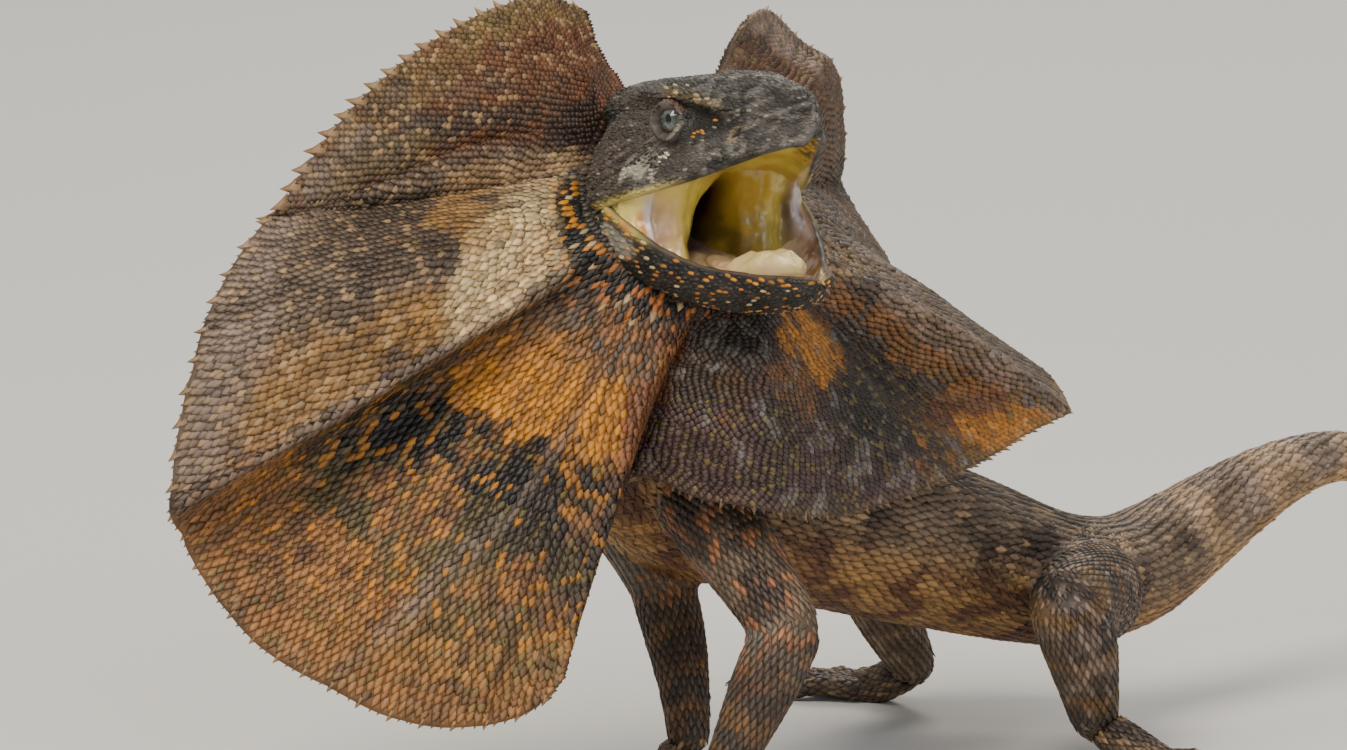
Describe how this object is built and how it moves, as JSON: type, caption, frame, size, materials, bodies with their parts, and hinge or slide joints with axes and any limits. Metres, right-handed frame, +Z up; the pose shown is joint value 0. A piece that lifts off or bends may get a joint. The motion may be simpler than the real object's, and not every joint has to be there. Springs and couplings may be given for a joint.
{
  "type": "frilled lizard",
  "caption": "Still, life-size lizard standing on four feet with its long tail on the ground, mouth open wide and pleated neck frill spread like a fan",
  "frame": {"origin": "on the ground under the middle of the bounding box", "axes": "+X the way the body faces, from tail to chest, and the longest extent; +Y the animal's left; +Z up"},
  "size_m": [0.6712, 0.1502, 0.1616],
  "materials": {
    "head_skin": "matt grey-brown scaly skin",
    "body_skin": "matt brown-grey keeled scales with ochre bands",
    "frill_skin": "matt rust-brown and orange scales with dark blotches",
    "mouth_lining": "moist olive-yellow skin",
    "tongue": "moist pale yellow skin",
    "eye": "wet grey-blue with a dark pupil"
  },
  "bodies": {
    "root": {"head": "head_skin", "lower_jaw": "head_skin", "mouth_lining": "mouth_lining", "tongue": "tongue", "eye_right": "eye", "eye_left": "eye", "neck": "body_skin", "chest": "body_skin", "belly": "body_skin", "pelvis": "body_skin", "tail_1": "body_skin", "tail_2": "body_skin", "tail_3": "body_skin", "tail_4": "body_skin", "tail_5": "body_skin", "upper_arm_left": "body_skin", "forearm_left": "body_skin", "hand_left": "body_skin", "upper_arm_right": "body_skin", "forearm_right": "body_skin", "hand_right": "body_skin", "thigh_left": "body_skin", "shin_left": "body_skin", "foot_left": "body_skin", "thigh_right": "body_skin", "shin_right": "body_skin", "foot_right": "body_skin", "frill_right_upper": "frill_skin", "frill_right_middle": "frill_skin", "frill_right_lower": "frill_skin", "frill_throat": "frill_skin", "frill_left_lower": "frill_skin", "frill_left_middle": "frill_skin", "frill_left_upper": "frill_skin"}
  },
  "joints": []
}
